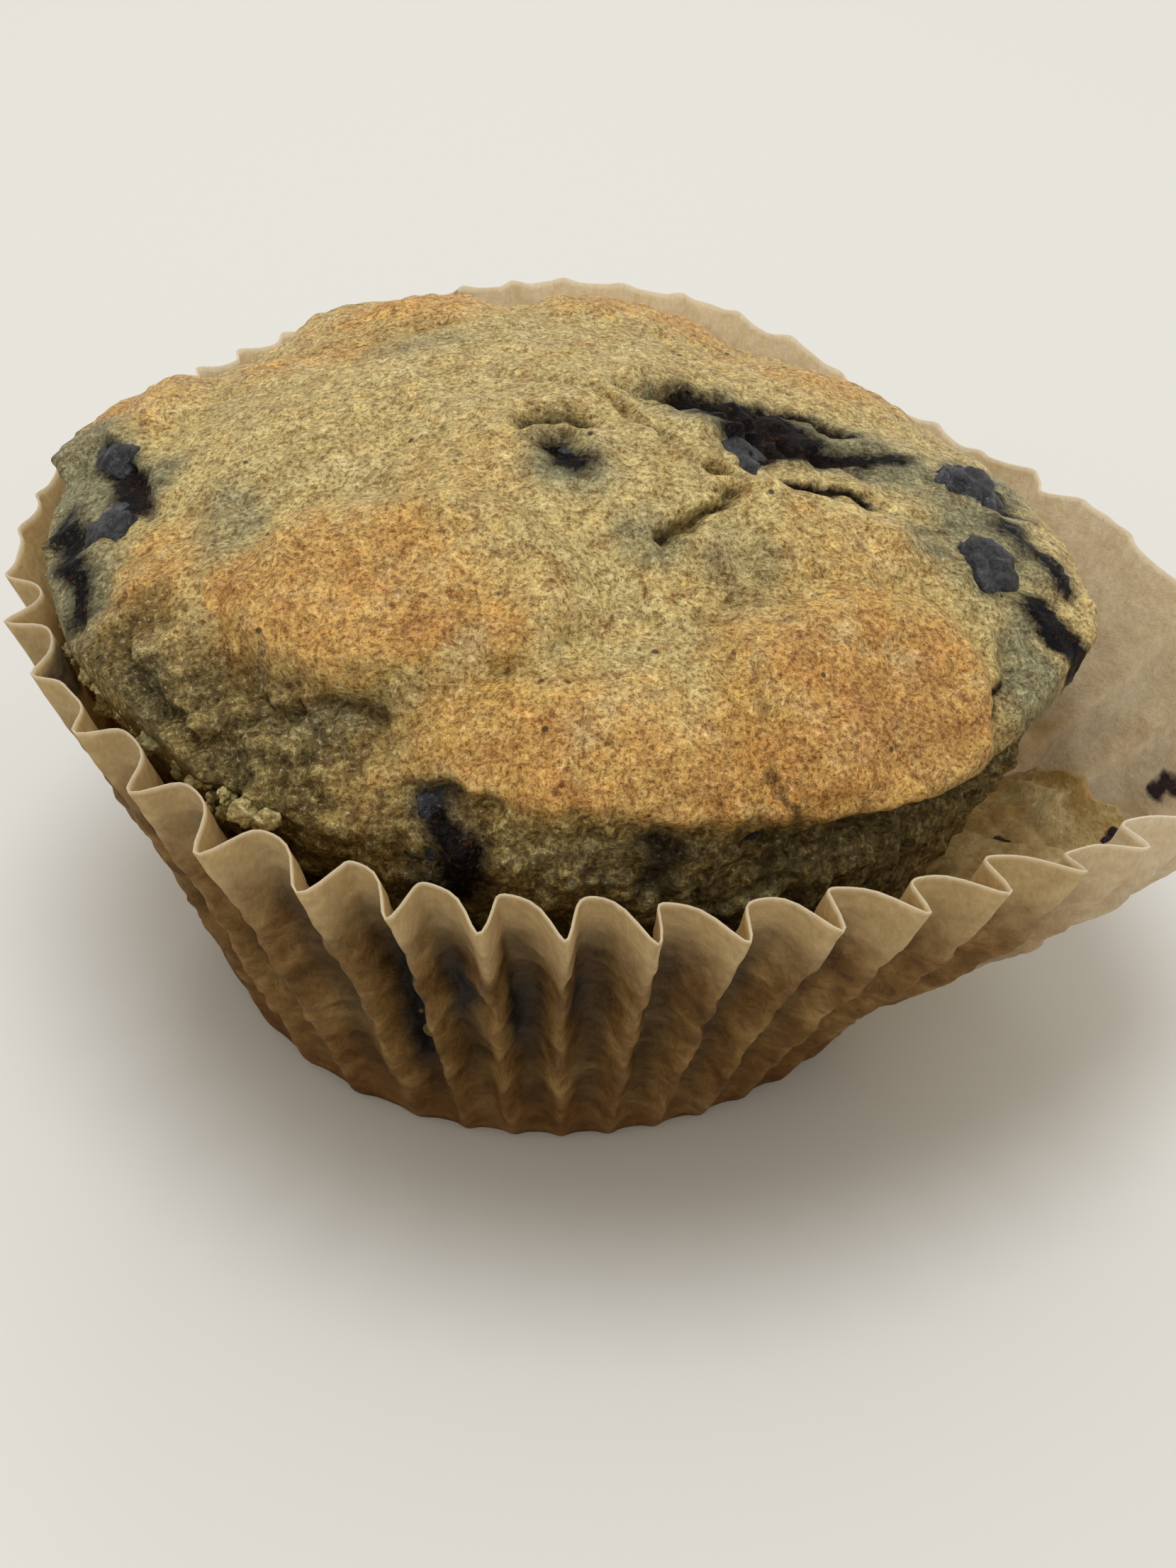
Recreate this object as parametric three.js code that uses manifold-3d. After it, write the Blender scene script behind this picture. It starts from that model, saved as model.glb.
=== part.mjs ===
// A blueberry muffin in its fluted paper case.
// Millimetres, +Z up. The origin is the centre of the case's flat foot, which stands on z = 0.
// Azimuth runs from the front (-Y) towards +X, in degrees: 90 is +X, 180 is the back.
//
// The cake, the paper case and every berry that breaks the surface are separate solids.
// The case is one sheet pleated into flutes, peeled away from the cake on its +X side.
// The cake is star-shaped about its heart: one radius for each direction, made of a foot, a
// tapered wall and a domed top, with swellings, mounds, cracks and berry hollows laid over it.

import * as THREE from "three";
import { mergeVertices } from "three/addons/utils/BufferGeometryUtils.js";
import Module from "manifold-3d";

// ---- paper case -------------------------------------------------------------------------------
const BASE_RADIUS = 25;
const PAPER = 0.3;
const FLUTES = 48;
const FACETS_PER_FLUTE = 6;
const WALL_ROWS = [0, 0.12, 0.28, 0.5, 0.76, 1]; // shares of the wall's length, foot to rim
const LEAN_STEPS = 12; // steps in which the wall's lean is summed from the foot up
const FIRST_RIDGE = -1.45; // turn of the ridge nearest the front
const FLUTE_GROWTH = 1.1; // flutes deepen from the foot to the rim by this power
const FLUTE_WAIST = 0.2; // share of a flute's depth by which its ridge is pinched at the neck
const FLUTE_SKEW = 0.34; // share of a flute's depth by which its ridge is combed towards +azimuth
const RIDGE_POINT = 0.22; // share of a second harmonic that narrows ridges and widens valleys

// The pleats are even in turn, but spread in azimuth: wide on the left, crowded at the back.
const PLEATS = [
  { turn: -180, azimuth: -180 },
  { turn: -78, azimuth: -94 },
  { turn: -60, azimuth: -74 },
  { turn: -22, azimuth: -20 },
  { turn: 45, azimuth: 44.5 },
  { turn: 180, azimuth: 180 },
];

// The case's wall by azimuth. It leans out from upright by foot degrees at the bottom, flare
// degrees above a third of the way up and rim degrees at the top, is length mm long, and its
// flutes are depth mm deep each way at the rim. Between 35 and 110 degrees it has been peeled
// away from the cake above a crease near the foot, and its flutes pulled flat.
const WALL = [
  { azimuth: -180, foot: 15, flare: 18, rim: 21, length: 34.5, depth: 0.5 },
  { azimuth: -150, foot: 15, flare: 16, rim: 16, length: 33.8, depth: 0.5 },
  { azimuth: -110, foot: 16, flare: 16.5, rim: 17, length: 33.5, depth: 0.9 },
  { azimuth: -90, foot: 16.5, flare: 17.5, rim: 18.5, length: 33.4, depth: 1.2 },
  { azimuth: -70, foot: 16, flare: 17, rim: 18, length: 33.2, depth: 1.4 },
  { azimuth: -48, foot: 14.5, flare: 16, rim: 18, length: 33, depth: 1.6 },
  { azimuth: -28, foot: 16, flare: 18.5, rim: 21, length: 33.3, depth: 1.9 },
  { azimuth: 0, foot: 18, flare: 20, rim: 23, length: 33.2, depth: 1.9 },
  { azimuth: 20, foot: 21, flare: 24, rim: 25, length: 33.5, depth: 1.9 },
  { azimuth: 36, foot: 24, flare: 32, rim: 21, length: 33.5, depth: 1.8 },
  { azimuth: 50, foot: 25, flare: 45, rim: 18, length: 33.5, depth: 1.5 },
  { azimuth: 68, foot: 30, flare: 62, rim: 18, length: 34, depth: 0.8 },
  { azimuth: 85, foot: 30, flare: 44, rim: 24, length: 33.5, depth: 0.5 },
  { azimuth: 98, foot: 24, flare: 28, rim: 28, length: 32.5, depth: 0.4 },
  { azimuth: 107, foot: 20, flare: 24, rim: 28, length: 31.5, depth: 0.4 },
  { azimuth: 122, foot: 17, flare: 20, rim: 25, length: 30, depth: 0.4 },
  { azimuth: 135, foot: 16, flare: 19, rim: 23, length: 30, depth: 0.4 },
  { azimuth: 150, foot: 15, flare: 18, rim: 21, length: 32.4, depth: 0.4 },
  { azimuth: 162, foot: 15, flare: 18, rim: 22, length: 34, depth: 0.5 },
  { azimuth: 180, foot: 15, flare: 18, rim: 21, length: 34.5, depth: 0.5 },
];
const CREASE = { low: 0.08, high: 0.34 }; // share of the length where foot lean turns to flare
const TURN_UP = { low: 0.4, high: 1 }; // and where flare turns to the rim's lean

// ---- cake -------------------------------------------------------------------------------------
const HEART_HEIGHT = 20;
const CAKE_FLOOR = 0.65; // clear of the paper's foot
const FOOT_RADIUS = 24.1;
const CAKE_FLARE = 17.5; // degrees from upright, where the case leaves room for it
const CASE_GAP = 0.4; // between the cake and the paper
const RIM_MARGIN = 2; // the cake starts to spread over the paper this far above its rim
const DOME = { radius: 34, shoulder: 31, rise: 11.7, lean: { x: -1.8, y: -0.8 } };
const FOOT_ROUNDING = 1.6;
const SHOULDER_ROUNDING = 0.9;
const CRUST_EDGE = { low: 26.5, high: 33 }; // mounds and cracks fade out down the side
const CAKE_DETAIL = 13;
const TOP_BIAS = 0.3; // moves mesh points up from the foot to the dome

// Broad swellings and dips of the whole cake, by direction from the heart, in degrees and mm.
const SWELLS = [
  { azimuth: -90, lift: 19, spread: 30, height: 0.9 }, // left lip
  { azimuth: 74, lift: 12, spread: 34, height: 2.4 }, // right lip, free of the paper
  { azimuth: 20, lift: 22, spread: 26, height: 0.5 }, // front lip
  { azimuth: 138, lift: 38, spread: 48, height: -2.0 }, // the back right has sunk
  { azimuth: 108, lift: 46, spread: 24, height: -1.3 }, // and most beside the burst berries
];

// The crust overhangs the crumb below it along the front, between two azimuths.
const OVERHANG = { from: -32, to: 92, fade: 20, height: 32.4, deep: 1.5, low: 6 };

// Mounds of batter on the dome: centre and half-sizes in plan, turn in degrees, height, and the
// share of the half-size over which the mound falls away.
const MOUNDS = [
  { x: -9, y: -17.5, across: 12.5, along: 8, turn: -8, height: 2.0, edge: 0.5 }, // left centre
  { x: 18.5, y: -22, across: 10.5, along: 8.5, turn: 28, height: 2.3, edge: 0.42 }, // right front
  { x: 3, y: -27.5, across: 11.5, along: 7, turn: 6, height: 1.9, edge: 0.75 }, // front centre
  { x: -24, y: -16, across: 6.5, along: 7, turn: 40, height: 1.1, edge: 0.6 }, // left shoulder
  { x: -29, y: 8.5, across: 6.5, along: 7.5, turn: -35, height: 2.3, edge: 0.4 }, // back left rim
  { x: -12, y: 21, across: 9, along: 6, turn: -20, height: 1.2, edge: 0.5 }, // back crest
  { x: 5, y: 23, across: 9.5, along: 7, turn: 5, height: 1.1, edge: 0.5 }, // back centre
  { x: 20, y: 15, across: 8, along: 8, turn: 38, height: 0.8, edge: 0.55 }, // back right
  { x: 16, y: -11, across: 8.5, along: 6, turn: -10, height: 0.9, edge: 0.7 }, // right plateau
  { x: 1, y: -8, across: 15, along: 11, turn: 0, height: 0.9, edge: 0.8 }, // middle
];

// Cracks and folds in the crust: two ends in plan, half-width and depth.
const CRACKS = [
  { from: [6, 1], to: [16, -4.5], width: 2.4, depth: 1.5 },
  { from: [16, -4.5], to: [24, -3], width: 1.8, depth: 1.2 },
  { from: [7, -16], to: [11.5, -11], width: 1.3, depth: 1.1 },
  { from: [-21, -24.5], to: [-9, -26.5], width: 1.8, depth: 1.4 },
  { from: [-14, -27], to: [-9, -34], width: 2.2, depth: 1.8 },
  { from: [24, -8], to: [32, -13], width: 2.2, depth: 1.5 },
  { from: [-30, 3], to: [-25, -3], width: 2, depth: 1.2 },
];

// ---- berries ----------------------------------------------------------------------------------
// Direction in which each one breaks the surface, its radius, how far it stands proud of the
// crust, and how flat it has baked.
const BERRIES = {
  berry_split: { azimuth: 4, lift: 73, radius: 3.1, proud: 0.15, flat: 0.8 },
  berry_burst: { azimuth: 70, lift: 57, radius: 4.6, proud: 0.5, flat: 0.62 },
  berry_right_top: { azimuth: 72, lift: 24.5, radius: 3.0, proud: 0.9, flat: 0.85 },
  berry_right_low: { azimuth: 75, lift: 13.5, radius: 3.0, proud: 0.7, flat: 0.85 },
  berry_right_back: { azimuth: 92, lift: 24, radius: 3.4, proud: 0.7, flat: 0.8 },
  berry_left_top: { azimuth: -98, lift: 26, radius: 3.2, proud: 0.6, flat: 0.8 },
  berry_left_low: { azimuth: -80, lift: 24.5, radius: 3.5, proud: 0.1, flat: 0.66 },
  berry_front: { azimuth: -15, lift: 19, radius: 4.0, proud: 0.7, flat: 0.85 },
  berry_front_side: { azimuth: 21, lift: 17.5, radius: 2.2, proud: 0.4, flat: 0.9 },
};
const BERRY_SIDES = 12;
const BERRY_RINGS = 7;
const BERRY_WRINKLE = 0.05; // share of the radius
const BERRY_CLEARANCE = 0.39;

// ---- small maths ------------------------------------------------------------------------------
const rad = THREE.MathUtils.degToRad;
const degrees = THREE.MathUtils.radToDeg;
const clamp01 = (t) => Math.min(1, Math.max(0, t));
const wrap = (azimuth) => ((((azimuth + 180) % 360) + 360) % 360) - 180;

const smoothstep = (low, high, t) => {
  const s = clamp01((t - low) / (high - low));
  return s * s * (3 - 2 * s);
};

// The lesser of two lengths, with the corner between them rounded off.
const roundedMin = (a, b, rounding) => {
  const h = Math.max(rounding - Math.abs(a - b), 0) / rounding;
  return Math.min(a, b) - (h * h * rounding) / 4;
};

// Unit vector at an azimuth and an angle above the horizontal.
const towards = (azimuth, lift) =>
  new THREE.Vector3(
    Math.sin(rad(azimuth)) * Math.cos(rad(lift)),
    -Math.cos(rad(azimuth)) * Math.cos(rad(lift)),
    Math.sin(rad(lift)),
  );

// ---- paper case shape -------------------------------------------------------------------------
// The wall's measures at one azimuth, eased between the two nearest stops.
function wallAt(azimuth) {
  const at = wrap(azimuth);
  const next = WALL.findIndex((stop) => stop.azimuth > at);
  const a = WALL[next - 1];
  const b = WALL[next];
  const share = smoothstep(a.azimuth, b.azimuth, at);
  const ease = (key) => a[key] + (b[key] - a[key]) * share;
  return {
    foot: ease("foot"),
    flare: ease("flare"),
    rim: ease("rim"),
    length: ease("length"),
    depth: ease("depth"),
  };
}

// Azimuth of a point that is turn degrees round the pleated sheet.
function pleatAzimuth(turn) {
  const at = wrap(turn);
  const next = PLEATS.findIndex((stop) => stop.turn > at);
  const a = PLEATS[next - 1];
  const b = PLEATS[next];
  return a.azimuth + ((at - a.turn) / (b.turn - a.turn)) * (b.azimuth - a.azimuth);
}

// How far out and how high the wall has got at a share of its length: a sum of short steps whose
// lean goes from the foot's to the flare's and on to the rim's.
function wallReach(wall, up) {
  const step = up / LEAN_STEPS;
  let out = 0;
  let high = 0;
  for (let i = 0; i < LEAN_STEPS; i++) {
    const at = (i + 0.5) * step;
    const flared = wall.foot + (wall.flare - wall.foot) * smoothstep(CREASE.low, CREASE.high, at);
    const lean = rad(flared + (wall.rim - flared) * smoothstep(TURN_UP.low, TURN_UP.high, at));
    out += Math.sin(lean) * step * wall.length;
    high += Math.cos(lean) * step * wall.length;
  }
  return { out, high };
}

// A point midway through the paper: turn is 0 to 360 round the case, up is 0 at the foot and 1
// at the rim.
function paperPoint(turn, up) {
  const azimuth = pleatAzimuth(turn);
  const phase = rad((turn - FIRST_RIDGE) * FLUTES);
  const wall = wallAt(azimuth);
  const reach = wallReach(wall, up);
  const depth = wall.depth * up ** FLUTE_GROWTH;
  const wave = Math.cos(phase) + RIDGE_POINT * Math.cos(2 * phase);
  const pinch = FLUTE_WAIST * (depth / 2) * Math.sin(2 * phase);
  const sideways = pinch + FLUTE_SKEW * depth * Math.cos(phase);
  const radius = BASE_RADIUS + reach.out + depth * wave;
  const around = rad(azimuth) + sideways / radius;
  return new THREE.Vector3(radius * Math.sin(around), -radius * Math.cos(around), reach.high);
}

// The same point moved to the paper's outer face (side 1) or inner face (side -1).
function facePoint(turn, up, side) {
  const step = 0.25;
  const point = paperPoint(turn, up);
  const ahead = paperPoint(turn + step, up);
  const behind = paperPoint(turn - step, up);
  const outward = new THREE.Vector3(ahead.y - behind.y, behind.x - ahead.x, 0).normalize();
  return point.addScaledVector(outward, (side * PAPER) / 2);
}

// Radius that is clear inside the case at an azimuth and a height. Above the rim it opens out.
function caseRoom(azimuth, height) {
  const wall = wallAt(azimuth);
  const rimHeight = wallReach(wall, 1).high;
  const up = clamp01(height / rimHeight);
  const valley = wall.depth * up ** FLUTE_GROWTH * (1 - RIDGE_POINT);
  const overRim = Math.max(0, height - rimHeight - RIM_MARGIN);
  return BASE_RADIUS + wallReach(wall, up).out - valley - PAPER / 2 - CASE_GAP + 2 * overRim;
}

// Rings of points from the centre of the foot, up the outer face, over the rim and down the
// inner face to the centre again.
function caseGeometry() {
  const columns = FLUTES * FACETS_PER_FLUTE;
  const rings = [];
  for (const up of WALL_ROWS) {
    rings.push({ up, side: 1, lift: 0 });
  }
  for (const up of [...WALL_ROWS].reverse()) {
    rings.push({ up, side: -1, lift: up === 0 ? PAPER : 0 });
  }
  const vertices = [0, 0, 0];
  for (const ring of rings) {
    for (let i = 0; i < columns; i++) {
      const turn = FIRST_RIDGE + (360 * i) / columns;
      const p = facePoint(turn, ring.up, ring.side);
      vertices.push(p.x, p.y, p.z + ring.lift);
    }
  }
  vertices.push(0, 0, PAPER);
  const last = rings.length * columns + 1;
  const at = (ring, i) => 1 + ring * columns + (i % columns);
  const index = [];
  for (let i = 0; i < columns; i++) {
    index.push(0, at(0, i + 1), at(0, i));
    for (let ring = 0; ring + 1 < rings.length; ring++) {
      const a = at(ring, i);
      const b = at(ring, i + 1);
      const c = at(ring + 1, i + 1);
      const d = at(ring + 1, i);
      index.push(a, b, c, a, c, d);
    }
    index.push(last, at(rings.length - 1, i), at(rings.length - 1, i + 1));
  }
  const geometry = new THREE.BufferGeometry();
  geometry.setAttribute("position", new THREE.Float32BufferAttribute(vertices, 3));
  geometry.setIndex(index);
  return geometry;
}

// ---- cake shape -------------------------------------------------------------------------------
const domeBall = (DOME.radius ** 2 + DOME.rise ** 2) / (2 * DOME.rise);
const domeCentre = new THREE.Vector3(
  DOME.lean.x,
  DOME.lean.y,
  DOME.shoulder + DOME.rise - domeBall - HEART_HEIGHT,
);

// Distance from the heart to the plain foot, wall and dome in one direction.
function plainRadius(direction) {
  const across = Math.hypot(direction.x, direction.y);
  const up = direction.z;
  const along = direction.dot(domeCentre);
  const dome = along + Math.sqrt(along ** 2 - domeCentre.lengthSq() + domeBall ** 2);
  const slope = Math.tan(rad(CAKE_FLARE));
  const wallRun = across - up * slope;
  const wall = wallRun > 0.05 ? (FOOT_RADIUS + HEART_HEIGHT * slope) / wallRun : Infinity;
  const floor = up < -0.01 ? (CAKE_FLOOR - HEART_HEIGHT) / up : Infinity;
  return roundedMin(roundedMin(dome, wall, SHOULDER_ROUNDING), floor, FOOT_ROUNDING);
}

// Share of a swelling's height in a direction.
function swellShare(swell, direction) {
  const off = degrees(direction.angleTo(towards(swell.azimuth, swell.lift)));
  return 1 - smoothstep(0, swell.spread, off);
}

// Share of a mound's height at a plan point.
function moundShare(mound, x, y) {
  const c = Math.cos(rad(mound.turn));
  const s = Math.sin(rad(mound.turn));
  const u = ((x - mound.x) * c + (y - mound.y) * s) / mound.across;
  const v = ((y - mound.y) * c - (x - mound.x) * s) / mound.along;
  return 1 - smoothstep(1 - mound.edge, 1, Math.hypot(u, v));
}

// Share of a crack's depth at a plan point.
function crackShare(crack, x, y) {
  const [ax, ay] = crack.from;
  const dx = crack.to[0] - ax;
  const dy = crack.to[1] - ay;
  const t = clamp01(((x - ax) * dx + (y - ay) * dy) / (dx * dx + dy * dy));
  const off = Math.hypot(x - ax - t * dx, y - ay - t * dy) / crack.width;
  return Math.exp(-off * off);
}

// How far the crumb lies back under the crust's edge at a point of the plain dome.
function overhangDepth(point) {
  const azimuth = degrees(Math.atan2(point.x, -point.y));
  const below = OVERHANG.height - point.z;
  const along =
    smoothstep(OVERHANG.from, OVERHANG.from + OVERHANG.fade, azimuth) *
    (1 - smoothstep(OVERHANG.to - OVERHANG.fade, OVERHANG.to, azimuth));
  return OVERHANG.deep * along * smoothstep(0, 1, below) * (1 - smoothstep(2, OVERHANG.low, below));
}

// Height of the mounds less the depth of the cracks at a point of the plain dome.
function relief(point) {
  let rise = 0;
  for (const mound of MOUNDS) {
    rise = Math.max(rise, mound.height * moundShare(mound, point.x, point.y));
  }
  for (const crack of CRACKS) {
    rise -= crack.depth * crackShare(crack, point.x, point.y);
  }
  return rise * smoothstep(CRUST_EDGE.low, CRUST_EDGE.high, point.z) - overhangDepth(point);
}

// The radius cut short where it would meet the case, which holds the batter in as it bakes.
function insideCase(direction, radius) {
  const across = Math.hypot(direction.x, direction.y);
  if (across < 0.3) {
    return radius;
  }
  const azimuth = degrees(Math.atan2(direction.x, -direction.y));
  let kept = radius;
  for (let pass = 0; pass < 4; pass++) {
    const room = caseRoom(azimuth, HEART_HEIGHT + direction.z * kept);
    kept = Math.min(radius, room / across);
  }
  return kept;
}

function cakeRadius(direction) {
  let plain = plainRadius(direction);
  for (const swell of SWELLS) {
    plain += swell.height * swellShare(swell, direction);
  }
  const point = direction.clone().multiplyScalar(plain);
  point.z += HEART_HEIGHT;
  return insideCase(direction, plain + relief(point));
}

function cakeGeometry() {
  const ball = new THREE.IcosahedronGeometry(1, CAKE_DETAIL);
  ball.deleteAttribute("normal");
  ball.deleteAttribute("uv");
  const geometry = mergeVertices(ball, 1e-5);
  const position = geometry.getAttribute("position");
  const direction = new THREE.Vector3();
  for (let i = 0; i < position.count; i++) {
    direction.fromBufferAttribute(position, i);
    const up = direction.z + TOP_BIAS * (1 - direction.z ** 2);
    const ring = Math.hypot(direction.x, direction.y) || 1;
    const across = Math.sqrt(Math.max(0, 1 - up * up)) / ring;
    direction.set(direction.x * across, direction.y * across, up);
    direction.multiplyScalar(cakeRadius(direction));
    position.setXYZ(i, direction.x, direction.y, direction.z + HEART_HEIGHT);
  }
  return geometry;
}

// ---- berry shape ------------------------------------------------------------------------------
// A baked berry: a slightly wrinkled ball, flattened along the direction it faces. Growth swells
// it evenly, for the hollow that it sits in.
function berryGeometry(berry, growth) {
  const ball = new THREE.SphereGeometry(1, BERRY_SIDES, BERRY_RINGS);
  ball.deleteAttribute("normal");
  ball.deleteAttribute("uv");
  const geometry = mergeVertices(ball, 1e-5);
  const position = geometry.getAttribute("position");
  const point = new THREE.Vector3();
  for (let i = 0; i < position.count; i++) {
    point.fromBufferAttribute(position, i);
    const around = Math.atan2(point.z, point.x);
    const wrinkle = BERRY_WRINKLE * Math.sin(3 * around + berry.azimuth) * (1 - point.y ** 2);
    point.multiplyScalar(berry.radius * (1 + wrinkle));
    point.y *= berry.flat;
    point.setLength(point.length() + growth);
    position.setXYZ(i, point.x, point.y, point.z);
  }
  const outward = towards(berry.azimuth, berry.lift);
  const turn = new THREE.Quaternion().setFromUnitVectors(new THREE.Vector3(0, 1, 0), outward);
  const centre = outward.clone();
  centre.multiplyScalar(cakeRadius(outward) + berry.proud - berry.radius * berry.flat);
  return geometry
    .applyQuaternion(turn)
    .translate(centre.x, centre.y, centre.z + HEART_HEIGHT);
}

// ---- solids -----------------------------------------------------------------------------------
const wasm = await Module();
wasm.setup();

function toSolid(geometry) {
  const mesh = new wasm.Mesh({
    numProp: 3,
    vertProperties: new Float32Array(geometry.getAttribute("position").array),
    triVerts: new Uint32Array(geometry.index.array),
  });
  return new wasm.Manifold(mesh);
}

function toGeometry(solid) {
  const mesh = solid.getMesh();
  const geometry = new THREE.BufferGeometry();
  geometry.setAttribute("position", new THREE.BufferAttribute(mesh.vertProperties, 3));
  geometry.setIndex(new THREE.BufferAttribute(mesh.triVerts, 1));
  return geometry;
}

// The cake with a hollow round each berry.
function hollowedCake() {
  let cake = toSolid(cakeGeometry());
  for (const berry of Object.values(BERRIES)) {
    cake = cake.subtract(toSolid(berryGeometry(berry, BERRY_CLEARANCE)));
  }
  return toGeometry(cake);
}

// ---- the part ---------------------------------------------------------------------------------
const CRUMB = { color: "#c9a56a", roughness: 0.85 };
const CASE_PAPER = { color: "#c4ac84", roughness: 0.7 };
const BERRY_SKIN = { color: "#23233a", roughness: 0.5 };

const muffin = new THREE.Group();

function addPiece(name, geometry, look) {
  const material = new THREE.MeshStandardMaterial({ ...look, metalness: 0 });
  const mesh = new THREE.Mesh(geometry, material);
  mesh.name = name;
  muffin.add(mesh);
}

addPiece("cake", hollowedCake(), CRUMB);
addPiece("paper_case", caseGeometry(), CASE_PAPER);
for (const [name, berry] of Object.entries(BERRIES)) {
  addPiece(name, berryGeometry(berry, 0), BERRY_SKIN);
}

export default muffin;
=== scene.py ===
import math
from functools import partial

import bpy
import numpy as np
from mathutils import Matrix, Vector, noise


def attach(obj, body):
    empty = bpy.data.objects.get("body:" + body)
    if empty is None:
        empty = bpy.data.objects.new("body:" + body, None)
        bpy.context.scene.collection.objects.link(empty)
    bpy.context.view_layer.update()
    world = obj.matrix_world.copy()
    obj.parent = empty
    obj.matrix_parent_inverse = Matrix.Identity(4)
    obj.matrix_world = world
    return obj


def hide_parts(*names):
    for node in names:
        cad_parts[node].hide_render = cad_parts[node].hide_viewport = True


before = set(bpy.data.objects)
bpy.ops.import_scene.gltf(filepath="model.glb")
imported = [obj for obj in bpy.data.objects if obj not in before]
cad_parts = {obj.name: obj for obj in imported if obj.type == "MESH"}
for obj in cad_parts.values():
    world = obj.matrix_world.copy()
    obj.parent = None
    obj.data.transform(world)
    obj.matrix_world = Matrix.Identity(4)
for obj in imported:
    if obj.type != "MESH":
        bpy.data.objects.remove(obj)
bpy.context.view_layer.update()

# A blueberry muffin in its fluted paper case. The shapes follow the CAD solids' own rules, drawn
# finer. Lengths are in millimetres until a mesh is placed, and azimuth runs in degrees from the
# front (-Y) towards +X.
MM = 0.001
rng = np.random.default_rng(11)

# ---- the case's measures -----------------------------------------------------------------------
BASE_RADIUS = 25.0
FLUTES = 48
FIRST_RIDGE = -1.45
VALLEY_SHARE = 0.78
PAPER_OUT = 0.15  # the outer face stands this far outside the sheet's middle
PAPER = 0.14
WALL_LENGTH = 33  # roughly, from foot to rim
MM_A_DEGREE = 0.62  # roughly, round the rim
DEEP_FOLD = -18.9  # turn of the one fold that is pressed in, at a little over half height
DEEP_FOLD_SLANT = 5.8  # how far it goes round from foot to rim
COLUMNS_A_FLUTE, CASE_ROWS = 14, 68
# The pleats are even in turn but not in azimuth: turn, azimuth.
PLEATS = np.array(
    [(-180, -180), (-78, -94), (-60, -74), (-22, -20), (45, 44.5), (180, 180)], float
)
# azimuth, lean at the foot, above the crease and at the rim, length of the wall, flute depth
WALL = np.array(
    [
        (-180, 15, 18, 21, 34.5, 0.5),
        (-150, 15, 16, 16, 33.8, 0.5),
        (-110, 16, 16.5, 17, 33.5, 0.9),
        (-90, 16.5, 17.5, 18.5, 33.4, 1.2),
        (-70, 16, 17, 18, 33.2, 1.4),
        (-48, 14.5, 16, 18, 33.0, 1.6),
        (-28, 16, 18.5, 21, 33.3, 1.9),
        (0, 18, 20, 23, 33.2, 1.9),
        (20, 21, 24, 25, 33.5, 1.9),
        (36, 24, 32, 21, 33.5, 1.8),
        (50, 25, 45, 18, 33.5, 1.5),
        (68, 30, 62, 18, 34.0, 0.8),
        (85, 30, 44, 24, 33.5, 0.5),
        (98, 24, 28, 28, 32.5, 0.4),
        (107, 20, 24, 28, 31.5, 0.4),
        (122, 17, 20, 25, 30.0, 0.4),
        (135, 16, 19, 23, 30.0, 0.4),
        (150, 15, 18, 21, 32.4, 0.4),
        (162, 15, 18, 22, 34.0, 0.5),
        (180, 15, 18, 21, 34.5, 0.5),
    ],
    float,
)
# Berry juice that has come through the paper: azimuth, up, half-widths of each, strength.
JUICE = [
    (-11, 0.6, 2.4, 0.14, 0.9),
    (-5, 0.52, 2.4, 0.16, 1.0),
    (1, 0.62, 2.4, 0.14, 0.9),
    (7, 0.6, 2.2, 0.12, 0.55),
    (-24, 0.54, 2.0, 0.12, 0.5),
    (-4, 0.55, 9, 0.16, 0.45),
    (64, 0.6, 5, 0.2, 0.35),
]
# Where peeling has lifted pale fibres: azimuth, up, half-widths of each, strength.
PEELED_FIBRES = [(87.5, 0.81, 5.0, 0.1, 1.2), (92, 0.67, 3.5, 0.06, 0.9)]
# The film of crumb left on the peeled paper: where it lies, and its upper edge by azimuth.
FILM_MIDDLE, FILM_HALF, FILM_FOOT = 68, 25, 0.1
FILM_TOP = ((43, 60, 76, 82, 87, 93), (0.6, 0.66, 0.62, 0.53, 0.45, 0.33))
# Dark berry stains on the sheet: azimuth, up, size in mm, strength.
STAINS = [
    (-69, 0.93, 2.8, 0.72),
    (-126, 0.985, 1.5, 1.0),
    (-166, 0.99, 1.4, 1.0),
    (74.6, 0.775, 1.0, 1.0),
    (75, 0.74, 0.8, 1.0),
    (74.2, 0.61, 0.6, 1.0),
    (73.6, 0.585, 0.6, 1.0),
    (73, 0.56, 0.6, 1.0),
    (72.4, 0.535, 0.6, 1.0),
    (75.5, 0.41, 0.7, 1.0),
]

# ---- the cake's measures -----------------------------------------------------------------------
HEART = np.array((0.0, 0.0, 20.0))
CAKE_FLOOR = 0.65
FOOT_RADIUS = 24.1
CAKE_FLARE = 17.5
CASE_GAP = 0.45
RIM_MARGIN = 1.5  # above the rim by this much, the cake may lean out over the paper
CAKE_CELLS = 310
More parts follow.
